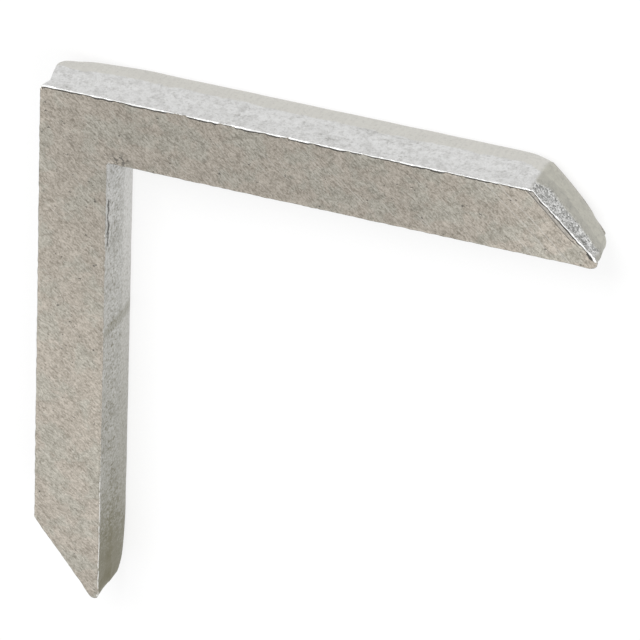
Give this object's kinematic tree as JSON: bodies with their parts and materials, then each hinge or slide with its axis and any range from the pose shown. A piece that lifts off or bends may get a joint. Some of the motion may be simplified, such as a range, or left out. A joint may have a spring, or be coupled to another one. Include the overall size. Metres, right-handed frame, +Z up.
{
  "type": "corner key",
  "caption": "L-shaped corner key blanked from thick plate, with square-section legs and slanted pointed ends, that joins two hollow frame members at a right angle.",
  "frame": {"origin": "where the centre lines of the two legs cross, in the plane of the resting face (the rolled-over face, which went first through the die)", "axes": "+X along one leg to its tip, -Y along the other leg to its tip, +Z up out of the burred face"},
  "size_m": [0.0496, 0.0496, 0.0064],
  "materials": {
    "plate": "mill finish, scuffed, with sheared edges"
  },
  "bodies": {
    "root": {"corner_key": "plate"}
  },
  "joints": []
}
